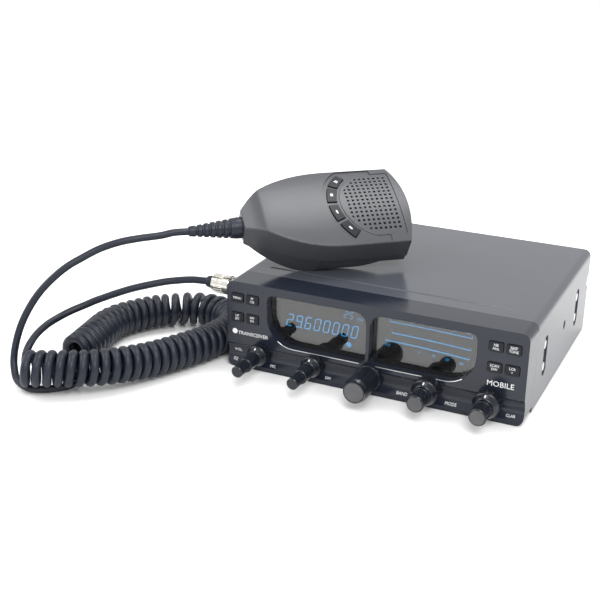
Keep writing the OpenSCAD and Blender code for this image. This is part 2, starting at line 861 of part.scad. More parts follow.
module grille_plate() {
    rows = 7;
    cols = 10;
    color("dimgray") on_mic() difference() {
        intersection() {
            translate([0, 0, 10]) linear_extrude(12) grille_outline(0);
            under_crown(0.3);
        }
        under_crown(mic_wall);
        translate([0, 0, 9]) linear_extrude(14) intersection() {
            grille_outline(2.6);
            for (i = [0:cols - 1], j = [-rows:rows - 1])
                translate([105 - i * hole_pitch, (j + 0.5) * hole_pitch])
                    square(hole_size, center = true);
        }
    }
}

module strain_relief() {
    color("black") on_mic() translate([0, 0, relief_z]) rotate([0, -90, 0]) difference() {
        rotate_extrude() polygon([
            [0, -4], [relief_r - 1.1, -4], [relief_r - 1.1, 0], [relief_r, 0],
            [relief_r, 3], [relief_end_r, relief_len], [0, relief_len]]);
        for (k = [0:5]) translate([0, 0, 8 + k * 4.4]) difference() {
            cylinder(h = 1.6, r = relief_r + 1);
            translate([0, 0, -1]) cylinder(h = 4, r = relief_r - 1.6 - k * 0.5);
        }
    }
}

module mic_element() {
    color("silver") on_mic() translate([grille_x, 0, 9.3]) cylinder(h = 6, r = 4.8);
}

module handset_board() {
    color("darkgreen") on_mic() {
        translate([46, -23, 8]) cube([60, 46, 1.2]);
        translate([50, -6, 9]) cube([10, 12, 2]);
    }
}

module ptt_lever() {
    color("black") on_mic() difference() {
        union() {
            translate([0, 0, ptt_low]) linear_extrude(ptt_high - ptt_low)
                side_band(-1.6, 2.4, ptt_from, ptt_pivot_x);
            translate([ptt_pivot_x, ptt_pivot_y, ptt_low])
                cylinder(h = ptt_high - ptt_low, r = 2.7);
        }
        translate([ptt_pivot_x, ptt_pivot_y, ptt_low - 1])
            cylinder(h = ptt_high - ptt_low + 2, r = ptt_pin_r + fit);
    }
}

module hang_stud() {
    color("silver") on_mic() translate([94, 0, -rear_flat - 5 - gap]) {
        cylinder(h = 5, r = 3);
        cylinder(h = 2, r = 5.5);
    }
}

// One microphone key, with the flange that keeps it in the front shell
module handset_key(i) {
    angle = mic_key_angles[i];
    color("black") on_mic() {
        difference() {
            intersection() {
                translate([0, 0, 10]) linear_extrude(13) mic_key_outline(angle, 0);
                under_crown(-0.2);
            }
            under_crown(3.6);
        }
        difference() {
            intersection() {
                translate([0, 0, 10]) linear_extrude(13) mic_key_outline(angle, 0.9);
                under_crown(2.4);
            }
            under_crown(3.6);
        }
    }
}

top_cover();
bottom_cover();
chassis();
heat_sink();
front_bezel();
lens_left();
lens_right();
display_left();
display_right();
front_board();
main_board();
speaker_frame();
speaker_cone();
speaker_magnet();
control_bodies();
mic_socket();
antenna_socket();
power_inlet();
jack_sockets();
case_screws();
volume_knob();
squelch_ring();
mic_gain_knob();
rf_gain_ring();
channel_spindle();
channel_knob();
band_ring();
mode_knob();
fine_ring();
clarifier_knob();
front_key(key_cols[0], key_rows[0]);  // key_1
front_key(key_cols[1], key_rows[0]);  // key_2
front_key(key_cols[0], key_rows[1]);  // key_3
front_key(key_cols[1], key_rows[1]);  // key_4
front_key(key_cols[2], key_rows[0]);  // key_5
front_key(key_cols[3], key_rows[0]);  // key_6
front_key(key_cols[2], key_rows[1]);  // key_7
front_key(key_cols[3], key_rows[1]);  // key_8
mic_plug();
plug_collar();
plug_boot();
handset_lead();
curly_cord();
plug_lead();
handset_front_shell();
handset_rear_shell();
grille_plate();
strain_relief();
mic_element();
handset_board();
ptt_lever();
hang_stud();
handset_screws();
handset_key(0);  // handset_key_1
handset_key(1);  // handset_key_2
handset_key(2);  // handset_key_3
handset_key(3);  // handset_key_4
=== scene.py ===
import json
import math

import bmesh
import bpy
from bpy.props import (FloatProperty, FloatVectorProperty, IntProperty, PointerProperty,
                       StringProperty)
from bpy.types import Operator, Panel, PropertyGroup
from mathutils import Matrix, Vector


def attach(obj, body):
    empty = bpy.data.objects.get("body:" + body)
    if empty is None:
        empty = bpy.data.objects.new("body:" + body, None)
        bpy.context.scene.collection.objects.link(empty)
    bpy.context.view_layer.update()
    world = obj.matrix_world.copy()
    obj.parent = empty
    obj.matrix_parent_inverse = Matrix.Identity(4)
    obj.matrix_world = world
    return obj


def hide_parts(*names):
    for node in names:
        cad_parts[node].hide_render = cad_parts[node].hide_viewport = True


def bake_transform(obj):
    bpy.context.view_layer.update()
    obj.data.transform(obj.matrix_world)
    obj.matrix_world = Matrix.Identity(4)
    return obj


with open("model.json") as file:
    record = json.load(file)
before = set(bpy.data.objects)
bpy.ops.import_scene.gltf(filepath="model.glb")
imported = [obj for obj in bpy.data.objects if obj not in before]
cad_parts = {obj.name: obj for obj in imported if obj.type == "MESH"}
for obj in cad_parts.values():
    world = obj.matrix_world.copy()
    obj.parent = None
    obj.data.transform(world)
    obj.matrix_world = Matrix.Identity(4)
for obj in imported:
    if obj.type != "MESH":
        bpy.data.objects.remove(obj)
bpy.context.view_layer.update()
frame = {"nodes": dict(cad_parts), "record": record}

bl_info = {
    "name": "Mobile transceiver",
    "version": (1, 0, 0),
    "blender": (4, 5, 0),
    "location": "3D View > Sidebar > Transceiver",
    "description": "Builds a mobile transceiver with its hand microphone and curly cord",
    "category": "Object",
}

RECORD = frame["record"]
BODY = {node: body for body, nodes in RECORD["behaviour"]["bodies"].items() for node in nodes}
SLOT = {part["node"]: part["material_slot"] for part in RECORD["subparts"]}
MM = 0.001

# The case, in millimetres: the same figures as the part's source
FRONT_Y = -85.0
CASE_H = 60.0
KNOB_Z = 13.0
KNOB_XS = [-75.5, -37.0, 1.5, 40.0, 78.5]
KEY_COLS = [-92.2, -81.4, 80.2, 91.0]
KEY_ROWS = [49.0, 35.6]
KEY_PROUD = 0.8
COVE_LOW, COVE_HIGH, COVE_DEEP = 3.0, 17.0, 2.5
COVE_MID = (COVE_LOW + COVE_HIGH) / 2
COVE_R = (((COVE_HIGH - COVE_LOW) / 2) ** 2 + COVE_DEEP ** 2) / (2 * COVE_DEEP)
WINDOW_MID, WINDOW_IN, WINDOW_OUT, WINDOW_LOW = -1.2, 1.1, 69.8, 20.0
DISPLAY_Y = FRONT_Y + 7.0 + 1.5 + 0.2
# Bend of the window corners, followed by the chrome strips that paint the highlight under the
# windows
HIGHLIGHT_LIP_R = 19.0

# The microphone's resting place on the top cover, and its plan
MIC_POS = (-103.97, -58.48, 85.52)
MIC_TURN = 41.0
MIC_ROLL = 31.0
MIC_SCALE = 0.97
MIC_CROWN_R = 122.0
MIC_CROWN_H = 20.7
GRILLE_X = 97.0
MIC_KEY_ANGLES = [-38.0, -13.0, 13.0, 38.0]
MIC_KEY_R = 34.7
# Its outline: a nose of two arcs, straight sides and a bowed end
MIC_LENGTH = 116.0
MIC_HALF = 34.0
NOSE_LENGTH = 64.0
NOSE_HALF = 8.3
END_BOW = 5.5
NOSE_DROP = MIC_HALF - NOSE_HALF
NOSE_R = (NOSE_LENGTH ** 2 + NOSE_DROP ** 2) / (2 * NOSE_DROP)
END_R = (MIC_HALF ** 2 + END_BOW ** 2) / (2 * END_BOW)
ON_MIC = (Matrix.Translation(MIC_POS) @ Matrix.Rotation(math.radians(MIC_TURN), 4, "Z")
          @ Matrix.Rotation(math.radians(MIC_ROLL), 4, "X") @ Matrix.Scale(MIC_SCALE, 4))
TO_METRES = Matrix.Scale(MM, 4)

# The cord's routes
MIC_EXIT = (-36.05, 0.0, 2.4)
HANDSET_ROUTE = [
    (-143.5, -95, 86.3), (-153, -104, 85.7), (-163, -112, 84), (-173, -120, 80.4),
    (-181, -128.5, 75.6), (-188, -137, 70.5), (-195, -145, 62.8), (-200, -152, 54.8),
    (-203.6, -158, 46), (-206, -163, 37), (-207.2, -167, 28), (-208, -169.5, 19),
    (-206, -173, 12), (-201, -177, 6), (-192, -179.5, 3.6), (-184, -176.5, 2.7),
    (-176, -170, 2.6), (-170, -162, 2.8), (-171, -153, 4.5), (-177, -146, 8.5),
    (-184, -139, 12.2)]
CURL_ROUTE = [
    (-192, -182, 17.6), (-182, -177, 17.6), (-173, -171.5, 17.3), (-160, -162, 16.2),
    (-147, -147.5, 14.8), (-135.5, -128, 13), (-125.5, -106.5, 12.3), (-117.5, -86.6, 12.2),
    (-113, -66.4, 12.2), (-114.5, -50.4, 12.2), (-124.8, -37.6, 12.2), (-141, -33.2, 12.2),
    (-154.5, -35.9, 12.2), (-165.5, -43.6, 12.2), (-176.2, -53.4, 12.2), (-185, -67.6, 12.2),
    (-190, -79.9, 12.2), (-191, -92.3, 12.2), (-189, -105.6, 12.2), (-187, -117.7, 12.2),
    (-185, -130.6, 12.2), (-184, -139, 12.2)]
PLUG_ROUTE = [
    (-120.5, -74.5, 52),
    (-131, -77, 52), (-141.8, -81, 50.8), (-150.4, -86, 49.6), (-167, -97, 45.8),
    (-184, -108, 39.5), (-192, -114, 35.8), (-198.5, -122, 32.9), (-202.4, -130, 30.6),
    (-203.5, -141, 29.3), (-201.3, -155, 28.1), (-197.5, -167, 26.4), (-196, -172.6, 23),
    (-196.4, -173.9, 17.6)]
# Thickness of the straight stretches as a share of the curl's
LEAD_SHARE = 0.83
# Distance between turns along the curl: (distance from the front end, pitch)
CURL_PITCH = [(0, 6.5), (60, 6.6), (150, 6.1), (185, 6.4), (200, 8.3), (222, 8.3), (231, 6.3),
              (300, 6.2), (420, 5.9)]


# ---- Settings ----

class StageSettings(PropertyGroup):
    floor_tone: FloatVectorProperty(
        name="Floor", description="Colour of the floor", subtype="COLOR", size=3,
        default=(0.92, 0.92, 0.92), min=0, max=1)
    sky: FloatProperty(
        name="Surrounding light", description="Strength of the even light all round",
        default=1.0, min=0)
    lens: FloatProperty(
        name="Lens", description="Focal length of the camera", subtype="DISTANCE_CAMERA",
        default=67.14, min=10)


class CaseSettings(PropertyGroup):
    paint: FloatVectorProperty(
        name="Paint", description="Colour of the cover's satin paint", subtype="COLOR",
        size=3, default=(0.058, 0.063, 0.076), min=0, max=1)
    edge: FloatProperty(
        name="Edge rounding", description="Rounding of the sheet edges", subtype="DISTANCE",
        unit="LENGTH", default=0.0004, min=0, max=0.002)


class FrontSettings(PropertyGroup):
    plastic: FloatVectorProperty(
        name="Bezel plastic", description="Colour of the moulded front", subtype="COLOR",
        size=3, default=(0.011, 0.014, 0.024), min=0, max=1)
    glow: FloatVectorProperty(
        name="Display figures", description="Colour of the lit figures", subtype="COLOR",
        size=3, default=(0.0, 0.28, 0.62), min=0, max=1)
    ink: FloatVectorProperty(
        name="Lettering", description="Colour of the printed lettering", subtype="COLOR",
        size=3, default=(0.78, 0.79, 0.8), min=0, max=1)
    frequency: StringProperty(
        name="Frequency", description="Digits on the left display; a point follows the second",
        default="29600000", maxlen=8)


class HandsetSettings(PropertyGroup):
    plastic: FloatVectorProperty(
        name="Microphone plastic", description="Colour of the microphone's shells",
        subtype="COLOR", size=3, default=(0.046, 0.048, 0.055), min=0, max=1)
    rim: FloatProperty(
        name="Rim rounding", description="Rounding of the shell round the face",
        subtype="DISTANCE", unit="LENGTH", default=0.0009, min=0, max=0.003)


class CordSettings(PropertyGroup):
    rubber: FloatVectorProperty(
        name="Rubber", description="Colour of the cord", subtype="COLOR", size=3,
        default=(0.008, 0.011, 0.02), min=0, max=1)
    thickness: FloatProperty(
        name="Thickness", description="Diameter of the cable", subtype="DISTANCE",
        unit="LENGTH", default=0.0058, min=0.002, max=0.008)
    curl: FloatProperty(
        name="Curl", description="Radius of the curl, to the middle of the cable",
        subtype="DISTANCE", unit="LENGTH", default=0.009, min=0.004, max=0.02)
    turn_points: IntProperty(
        name="Points in a turn", description="Points of the centreline in one turn",
        default=18, min=12, max=48)


class TransceiverSettings(PropertyGroup):
    stage: PointerProperty(type=StageSettings)
    case: PointerProperty(type=CaseSettings)
    front: PointerProperty(type=FrontSettings)
    handset: PointerProperty(type=HandsetSettings)
    cord: PointerProperty(type=CordSettings)


# ---- Finishes ----

class Signal:
    """An output socket that can be used in sums."""

    def __init__(self, finish, socket):
        self.finish = finish
        self.socket = socket

    def calc(self, operation, *values, clamp=False):
        settings = {"operation": operation, "use_clamp": clamp}
        node = self.finish.add("ShaderNodeMath", settings, dict(enumerate(values)))
        return Signal(self.finish, node.outputs[0])

    def __add__(self, other):
        return self.calc("ADD", self, other)

    def __radd__(self, other):
        return self.calc("ADD", other, self)

    def __sub__(self, other):
        return self.calc("SUBTRACT", self, other)

    def __rsub__(self, other):
        return self.calc("SUBTRACT", other, self)

    def __mul__(self, other):
        return self.calc("MULTIPLY", self, other)

    def __rmul__(self, other):
        return self.calc("MULTIPLY", other, self)

    def above(self, level, softness):
        """0 well under the level and 1 well over it."""
        return self.calc("MULTIPLY_ADD", self, 1 / softness, 0.5 - level / softness, clamp=True)


class Finish:
    """A material made of one Principled shader; its fixed values are the keyword arguments."""

    def __init__(self, name, **fixed):
        self.material = bpy.data.materials.new(name)
        self.material.use_nodes = True
        self.tree = self.material.node_tree
        self.shader = self.tree.nodes["Principled BSDF"]
        for socket, value in fixed.items():
            self.shader.inputs[socket.replace("_", " ")].default_value = value
        self.place = Signal(self, self.add("ShaderNodeTexCoord").outputs["Object"])

    def add(self, kind, settings=None, inputs=None):
        """A node of that kind, with its settings set first and then its sockets."""
        node = self.tree.nodes.new(kind)
        for key, value in (settings or {}).items():
            setattr(node, key, value)
        for key, value in (inputs or {}).items():
            if isinstance(value, Signal):
                self.tree.links.new(value.socket, node.inputs[key])
            else:
                node.inputs[key].default_value = value
        return node

    def stretched(self, x, y, z):
        node = self.add("ShaderNodeMapping", None, {"Vector": self.place, "Scale": (x, y, z)})
        return Signal(self, node.outputs["Vector"])

    def noise(self, size, detail=2.0, rough=0.5, place=None):
        """Noise whose features are about that many millimetres across."""
        node = self.add("ShaderNodeTexNoise", None, {
            "Vector": place or self.place, "Scale": 1 / (size * MM), "Detail": detail,
            "Roughness": rough})
        return Signal(self, node.outputs["Fac"])

    def cells(self, size, feature="F1", place=None):
        node = self.add("ShaderNodeTexVoronoi", {"feature": feature}, {
            "Vector": place or self.place, "Scale": 1 / (size * MM)})
        return Signal(self, node.outputs["Distance"])

    def worn(self):
        """1 on the rounded edges of a piece."""
        node = self.add("ShaderNodeAttribute", {"attribute_name": "worn"})
        return Signal(self, node.outputs["Fac"])

    def blend(self, one, two, share):
        """The first colour where the share is 0 and the second where it is 1."""
        node = self.add("ShaderNodeMix", {"data_type": "RGBA"}, {0: share, 6: one, 7: two})
        return Signal(self, node.outputs[2])

    def set(self, socket, signal):
        self.tree.links.new(signal.socket, self.shader.inputs[socket])
        return self

    def relief(self, height, depth, strength=1.0):
        """Bumps of that depth in millimetres."""
        node = self.add("ShaderNodeBump", None, {
            "Height": height, "Distance": depth * MM, "Strength": strength})
        return self.set("Normal", Signal(self, node.outputs["Normal"]))


def tint(colour, factor=1.0):
    return (colour[0] * factor, colour[1] * factor, colour[2] * factor, 1.0)


def coated(name, colour, rough, orange_peel=0.012, **fixed):
    """Satin powder paint: a faint orange peel, slow cloudiness and polished edges."""
    f = Finish(name, **fixed)
    cloud = f.noise(38, 3)
    peel = f.noise(1.6, 2)
    grain = f.noise(0.35, 3, 0.6)
    worn = f.worn() * f.noise(2.5, 3).above(0.5, 0.3)
    base = f.blend(tint(colour, 0.93), tint(colour, 1.07), cloud)
    f.set("Base Color", f.blend(base, tint(colour, 1.9), worn * 0.5))
    f.set("Roughness", rough - 0.03 + cloud * 0.04 + grain * 0.05 - worn * 0.05)
    f.relief(peel + grain * 0.5, orange_peel)
    return f.material


def moulded(name, colour, rough, grain_size=0.45, grain_deep=0.012, **fixed):
    """Moulded plastic with a spark-eroded grain that is rubbed smooth on the edges."""
    f = Finish(name, **fixed)
    cloud = f.noise(24, 3)
    grain = f.noise(grain_size, 3, 0.65)
    worn = f.worn() * f.noise(1.8, 3).above(0.48, 0.3)
    base = f.blend(tint(colour, 0.88), tint(colour, 1.12), cloud * 0.6 + grain * 0.4)
    f.set("Base Color", f.blend(base, tint(colour, 2.0), worn * 0.45))
    f.set("Roughness", rough - 0.05 + cloud * 0.05 + grain * 0.08 - worn * 0.08)
    f.relief(grain, grain_deep)
    return f.material


def metal(name, colour, rough, along=(1, 1, 1), deep=0.003, **fixed):
    """Metal with fine drawing lines along one axis, tarnish and brighter edges."""
    f = Finish(name, Metallic=1.0, **fixed)
    lines = f.noise(0.6, 4, 0.7, place=f.stretched(*along))
    tarnish = f.noise(9, 4).above(0.55, 0.35)
    worn = f.worn()
    base = f.blend(tint(colour), tint(colour, 0.72), tarnish * 0.6)
    f.set("Base Color", f.blend(base, tint(colour, 1.15), worn * 0.6))
    f.set("Roughness", rough - 0.05 + lines * 0.1 + tarnish * 0.08)
    f.relief(lines, deep)
    return f.material


def rubber(name, colour):
    """Soft cable rubber with a little dust."""
    f = Finish(name, IOR=1.4)
    cloud = f.noise(14, 3)
    grain = f.noise(0.3, 3, 0.6)
    dust = f.noise(5, 4).above(0.6, 0.2)
    base = f.blend(tint(colour, 0.85), tint(colour, 1.25), cloud)
    f.set("Base Color", f.blend(base, tint(colour, 2.4), dust * 0.15))
    f.set("Roughness", 0.36 + cloud * 0.06 + dust * 0.08)
    f.relief(grain, 0.006)
    return f.material


def smoked(name):
    """Smoked window: mostly see-through, and mirror-like because it has several faces."""
    f = Finish(name, IOR=2.3, Base_Color=(0.004, 0.004, 0.004, 1), Alpha=0.5)
    haze = f.noise(11, 4).above(0.55, 0.4)
    smear = f.noise(3.0, 3, 0.6, place=f.stretched(1, 1, 3))
    f.set("Roughness", 0.02 + haze * 0.02 + smear * 0.01)
    f.relief(f.noise(20, 2), 0.004, 0.4)
    return f.material


def glass_panel(name):
    """Dark display glass with a faint cell raster."""
    f = Finish(name, IOR=1.5)
    raster = f.cells(0.8)
    tone = f.noise(18, 2)
    f.set("Base Color", f.blend((0.006, 0.007, 0.008, 1), (0.012, 0.014, 0.017, 1),
                                raster * 0.5 + tone * 0.5))
    f.set("Roughness", 0.16 + tone * 0.08)
    f.relief(raster, 0.002)
    return f.material


def glowing(name, colour, strength):
    """Lit figures, a little uneven."""
    f = Finish(name, Base_Color=(0.01, 0.02, 0.03, 1), Roughness=0.4,
               Emission_Strength=strength)
    flicker = f.noise(1.1, 2)
    f.set("Emission Color", f.blend(tint(colour, 0.8), tint(colour, 1.15), flicker))
    f.relief(flicker, 0.004)
    return f.material


def board(name):
    """Green solder mask with tracks and solder pads."""
    f = Finish(name, IOR=1.5)
    tracks = f.cells(3.2, "DISTANCE_TO_EDGE").above(0.1, 0.03)
    pads = f.cells(2.1).above(0.16, 0.03)
    base = f.blend((0.03, 0.11, 0.05, 1), (0.008, 0.055, 0.022, 1), tracks)
    f.set("Base Color", f.blend((0.5, 0.48, 0.42, 1), base, pads))
    f.set("Metallic", 0.9 - pads * 0.9)
    f.set("Roughness", 0.35 + f.noise(4, 3) * 0.15)
    f.relief(tracks * -1 + pads * -0.5, 0.03)
    return f.material


def printed(name, colour):
    """Printed ink, a little uneven."""
    f = Finish(name, IOR=1.45)
    wear = f.noise(0.5, 3, 0.6)
    f.set("Base Color", f.blend(tint(colour, 0.82), tint(colour), wear))
    f.set("Roughness", 0.45 + wear * 0.15)
    f.relief(wear, 0.004)
    return f.material


FINISHES = {}


def mix_finishes():
    """Makes each finish once, under the name of its slot or of its use."""
    s = bpy.context.scene.transceiver
    FINISHES.update(
        case_paint=coated("case_paint", s.case.paint, 0.2, IOR=1.45),
        zinc_steel=metal("zinc_steel", (0.6, 0.61, 0.62), 0.4, along=(1, 6, 1)),
        black_alloy=coated("black_alloy", (0.02, 0.02, 0.022), 0.45, 0.02),
        bezel_plastic=moulded("bezel_plastic", s.front.plastic, 0.14, IOR=1.45),
        smoked_lens=smoked("smoked_lens"),
        display_glass=glass_panel("display_glass"),
        circuit_board=board("circuit_board"),
        paper_cone=moulded("paper_cone", (0.03, 0.028, 0.026), 0.85, 0.9, 0.05),
        nickel=metal("nickel", (0.82, 0.79, 0.73), 0.16, along=(1, 4, 4)),
        socket_plastic=moulded("socket_plastic", (0.02, 0.02, 0.02), 0.42),
        screw_steel=metal("screw_steel", (0.72, 0.73, 0.75), 0.25),
        knob_plastic=moulded("knob_plastic", (0.007, 0.009, 0.014), 0.24, 0.3, 0.006, IOR=1.42),
        key_plastic=moulded("key_plastic", (0.006, 0.007, 0.01), 0.4, 0.35, 0.008, IOR=1.35),
        cord_rubber=rubber("cord_rubber", s.cord.rubber),
        mic_plastic=moulded("mic_plastic", s.handset.plastic, 0.36, 0.4, 0.009),
        white_ink=printed("white_ink", s.front.ink),
        lit_figures=glowing("lit_figures", s.front.glow, 3.2),
        dim_figures=glowing("dim_figures", s.front.glow, 2.6),
        disc_grey=metal("disc_grey", (0.11, 0.11, 0.115), 0.42),
        # Bright chrome for the strips under the windows: a painted highlight
        lip_chrome=metal("lip_chrome", (0.85, 0.86, 0.88), 0.12),
    )


# ---- Shaping ----

def merged(node):
    """A CAD node's shape with its loose triangles joined into whole faces."""
    shape = bmesh.new()
    shape.from_mesh(frame["nodes"][node].data)
    bmesh.ops.remove_doubles(shape, verts=shape.verts, dist=0.002 * MM)
    bmesh.ops.dissolve_limit(shape, angle_limit=math.radians(0.4), verts=shape.verts,
                             edges=shape.edges)
    return shape


def round_edges(shape, width, steps=2, sharper_than=35, chosen=None, clamp=True):
    """Rounds the sharp edges by a width in millimetres and marks the rounding as worn."""
    worn = shape.faces.layers.float.get("worn") or shape.faces.layers.float.new("worn")
    sharp = [edge for edge in shape.edges
             if len(edge.link_faces) == 2
             and edge.calc_face_angle(0) > math.radians(sharper_than)
             and (chosen is None or chosen(edge))]
    if sharp:
        made = bmesh.ops.bevel(shape, geom=sharp, offset=width * MM, offset_type="OFFSET",
                               segments=steps, profile=0.5, affect="EDGES",
                               clamp_overlap=clamp, material=-1)
        for face in made["faces"]:
            face[worn] = 1.0


def keep(shape, name, body, finish, replaces=(), level=True):
    """Turns the shape into a finished piece that rides on a body."""
    mesh = bpy.data.meshes.new(name)
    shape.to_mesh(mesh)
    shape.free()
    mesh.shade_smooth()
    mesh.materials.append(FINISHES[finish])
    piece = bpy.data.objects.new(name, mesh)
    bpy.context.scene.collection.objects.link(piece)
    if level:
        weigh = piece.modifiers.new("level_faces", "WEIGHTED_NORMAL")
        weigh.keep_sharp = True
    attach(piece, body)
    if replaces:
        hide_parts(*replaces)
    return piece


def finished(node, width, steps=2, finish=None, sharper_than=35, extra=None):
    """The CAD node's shape with rounded edges, standing for the node."""
    shape = merged(node)
    if extra:
        extra(shape)
    round_edges(shape, width, steps, sharper_than)
    return keep(shape, node + "_finished", BODY[node], finish or SLOT[node],
                replaces=[node])


def on_front(x, z, out=0.0):
    """Turns a shape drawn flat in X and Y to stand on the front face, in millimetres."""
    return Matrix(((1, 0, 0, x), (0, 0, -1, FRONT_Y - out), (0, 1, 0, z), (0, 0, 0, 1)))


def on_knob(x):
    return on_front(x, KNOB_Z)


def add_words(shape, words, height, place, thick=0.12, slant=0.0, stretch=1.0):
    """Adds lettering of that height to the shape; its middle goes to the place."""
    line = bpy.data.curves.new("lettering", "FONT")
    line.body = words
    line.size = height / 0.72
    line.extrude = thick / 2
    line.align_x = "CENTER"
    line.align_y = "CENTER"
    line.shear = slant
    line.resolution_u = 2
    drawn = bpy.data.objects.new("lettering", line)
    bpy.context.scene.collection.objects.link(drawn)
    depsgraph = bpy.context.evaluated_depsgraph_get()
    mesh = bpy.data.meshes.new_from_object(drawn.evaluated_get(depsgraph))
    mesh.transform(place @ Matrix.Diagonal((stretch, 1, 1, 1)))
    shape.from_mesh(mesh)
    bpy.data.objects.remove(drawn)
    bpy.data.curves.remove(line)
    bpy.data.meshes.remove(mesh)


def add_block(shape, place, size, corner=0.0):
    """Adds a flat block in millimetres, with its four upright edges cut by the corner."""
    made = bmesh.ops.create_cube(shape, size=1.0, matrix=Matrix.Diagonal((*size, 1)))
    verts = made["verts"]
    if corner:
        upright = [edge for edge in {e for v in verts for e in v.link_edges}
                   if abs((edge.verts[0].co - edge.verts[1].co).z) > size[2] / 2]
        cut = bmesh.ops.bevel(shape, geom=upright, offset=corner, offset_type="OFFSET",
                              segments=1, profile=0.5, affect="EDGES", material=-1)
        verts = list({v for v in verts if v.is_valid} | {v for v in cut["verts"]})
    bmesh.ops.transform(shape, matrix=place, verts=verts)


def add_turned(shape, profile, place, steps=48):
    """Adds the shape turned round Z from a profile of (radius, height) points."""
    points = [shape.verts.new((radius, 0, height)) for radius, height in profile]
    edges = [shape.edges.new(pair) for pair in zip(points, points[1:])]
    made = bmesh.ops.spin(shape, geom=points + edges, cent=(0, 0, 0), axis=(0, 0, 1),
                          angle=math.tau, steps=steps, use_merge=True)
    verts = {v for item in made["geom_last"] for v in getattr(item, "verts", [item])}
    reach = set(points) | verts
    frontier = list(reach)
    while frontier:
        vert = frontier.pop()
        for edge in vert.link_edges:
            other = edge.other_vert(vert)
            if other not in reach:
                reach.add(other)
                frontier.append(other)
    reach = [v for v in reach if v.is_valid]
    bmesh.ops.remove_doubles(shape, verts=reach, dist=1e-4)
    reach = [v for v in reach if v.is_valid]
    faces = list({f for v in reach for f in v.link_faces})
    bmesh.ops.recalc_face_normals(shape, faces=faces)
    bmesh.ops.transform(shape, matrix=place, verts=reach)


def in_metres(shape):
    bmesh.ops.transform(shape, matrix=TO_METRES, verts=shape.verts)
    return shape


def spline_through(points, steps):
    """Catmull-Rom curve through the points, as the part's source draws it."""
    points = [Vector(p) for p in points]
    ends = [2 * points[0] - points[1], *points, 2 * points[-1] - points[-2]]
    curve = []
    for a, b, c, d in zip(ends, ends[1:], ends[2:], ends[3:]):
        for i in range(steps):
            t = i / steps
            curve.append(0.5 * (2 * b + (c - a) * t + (2 * a - 5 * b + 4 * c - d) * t * t
                                + (3 * b - a - 3 * c + d) * t ** 3))
    return curve + [points[-1]]


def read_off(table, where):
    """The value at a distance, between the rows of a table."""
    for (a, first), (b, second) in zip(table, table[1:]):
        if where <= b:
            return first + (second - first) * max(0.0, (where - a) / (b - a))
    return table[-1][1]


def tube_mesh(name, line, thickness, finish, slim=None):
    """A round bar that follows the points, in metres, as a mesh; slim thins it at each point."""
    bar = bpy.data.curves.new(name, "CURVE")
    bar.dimensions = "3D"
    bar.bevel_depth = thickness / 2
    bar.bevel_resolution = 4
    bar.use_fill_caps = True
    run = bar.splines.new("POLY")
    run.points.add(len(line) - 1)
    for point, place in zip(run.points, line):
        point.co = (*place, 1)
    if slim:
        run.points.foreach_set("radius", slim)
    drawn = bpy.data.objects.new("drawn_" + name, bar)
    bpy.context.scene.collection.objects.link(drawn)
    depsgraph = bpy.context.evaluated_depsgraph_get()
    mesh = bpy.data.meshes.new_from_object(drawn.evaluated_get(depsgraph))
    bpy.data.objects.remove(drawn)
    mesh.shade_smooth()
    mesh.materials.clear()
    mesh.materials.append(FINISHES[finish])
    piece = bpy.data.objects.new(name, mesh)
    bpy.context.scene.collection.objects.link(piece)
    return piece


# ---- The curly cord ----

def curl_points(radius, per_turn):
    """Centreline of the curl, from the front strand's left end to the back strand's."""
    axis = spline_through(CURL_ROUTE, 24)
    along = [0.0]
    for a, b in zip(axis, axis[1:]):
        along.append(along[-1] + (b - a).length)
    whole = along[-1]
    points = []
    where, angle, i = 0.0, math.pi, 0
    while where < whole:
        while i < len(along) - 2 and along[i + 1] < where:
            i += 1
        share = (where - along[i]) / (along[i + 1] - along[i])
        middle = axis[i].lerp(axis[i + 1], share)
        ahead = (axis[min(i + 3, len(axis) - 1)] - axis[max(i - 2, 0)]).normalized()
        aside = ahead.cross(Vector((0, 0, 1))).normalized()
        upward = aside.cross(ahead)
        grow = min(1.0, (whole - where) / 4)
        grow = grow * grow * (3 - 2 * grow)
        points.append(middle + radius * grow * (aside * math.cos(angle)
                                                + upward * math.sin(angle)))
        angle += math.tau / per_turn
        where += read_off(CURL_PITCH, where) / per_turn
    return points


class TRANSCEIVER_OT_cord(Operator):
    """Lay the microphone's curly cord from the microphone to its plug"""
    bl_idname = "transceiver.cord"
    bl_label = "Curly cord"

    def execute(self, context):
        s = context.scene.transceiver.cord
        start = [ON_MIC @ Vector(MIC_EXIT), ON_MIC @ (Vector(MIC_EXIT) - Vector((10, 0, 0)))]
        lead = spline_through([*start, *HANDSET_ROUTE], 6)
        curl = curl_points(s.curl / MM, s.turn_points)
        tail = spline_through(PLUG_ROUTE, 6)
        straight = len(lead) - 3
        line = [p * MM for p in [*lead[:straight], *reversed(curl), *reversed(tail)]]
        # The cable thickens over the first and last nine points of the curl
        slim = []
        for i in range(len(line)):
            inside = min(i - straight, straight + len(curl) - 1 - i) / 9
            slim.append(LEAD_SHARE + (1 - LEAD_SHARE) * min(1.0, max(0.0, inside)))
        cord = tube_mesh("microphone_cord", line, s.thickness, "cord_rubber", slim)
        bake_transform(cord)
        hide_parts("handset_lead", "curly_cord", "plug_lead")
        return {"FINISHED"}


# ---- Case ----

class TRANSCEIVER_OT_case(Operator):
    """Make the covers, the chassis, the heat sink and the cover screws"""
    bl_idname = "transceiver.case"
    bl_label = "Case"

    def execute(self, context):
        edge = context.scene.transceiver.case.edge / MM
        for node, width in (("top_cover", edge), ("bottom_cover", 0.3), ("chassis", 0.3),
                            ("heat_sink", 0.3), ("case_screws", 0.2)):
            finished(node, width)
        return {"FINISHED"}


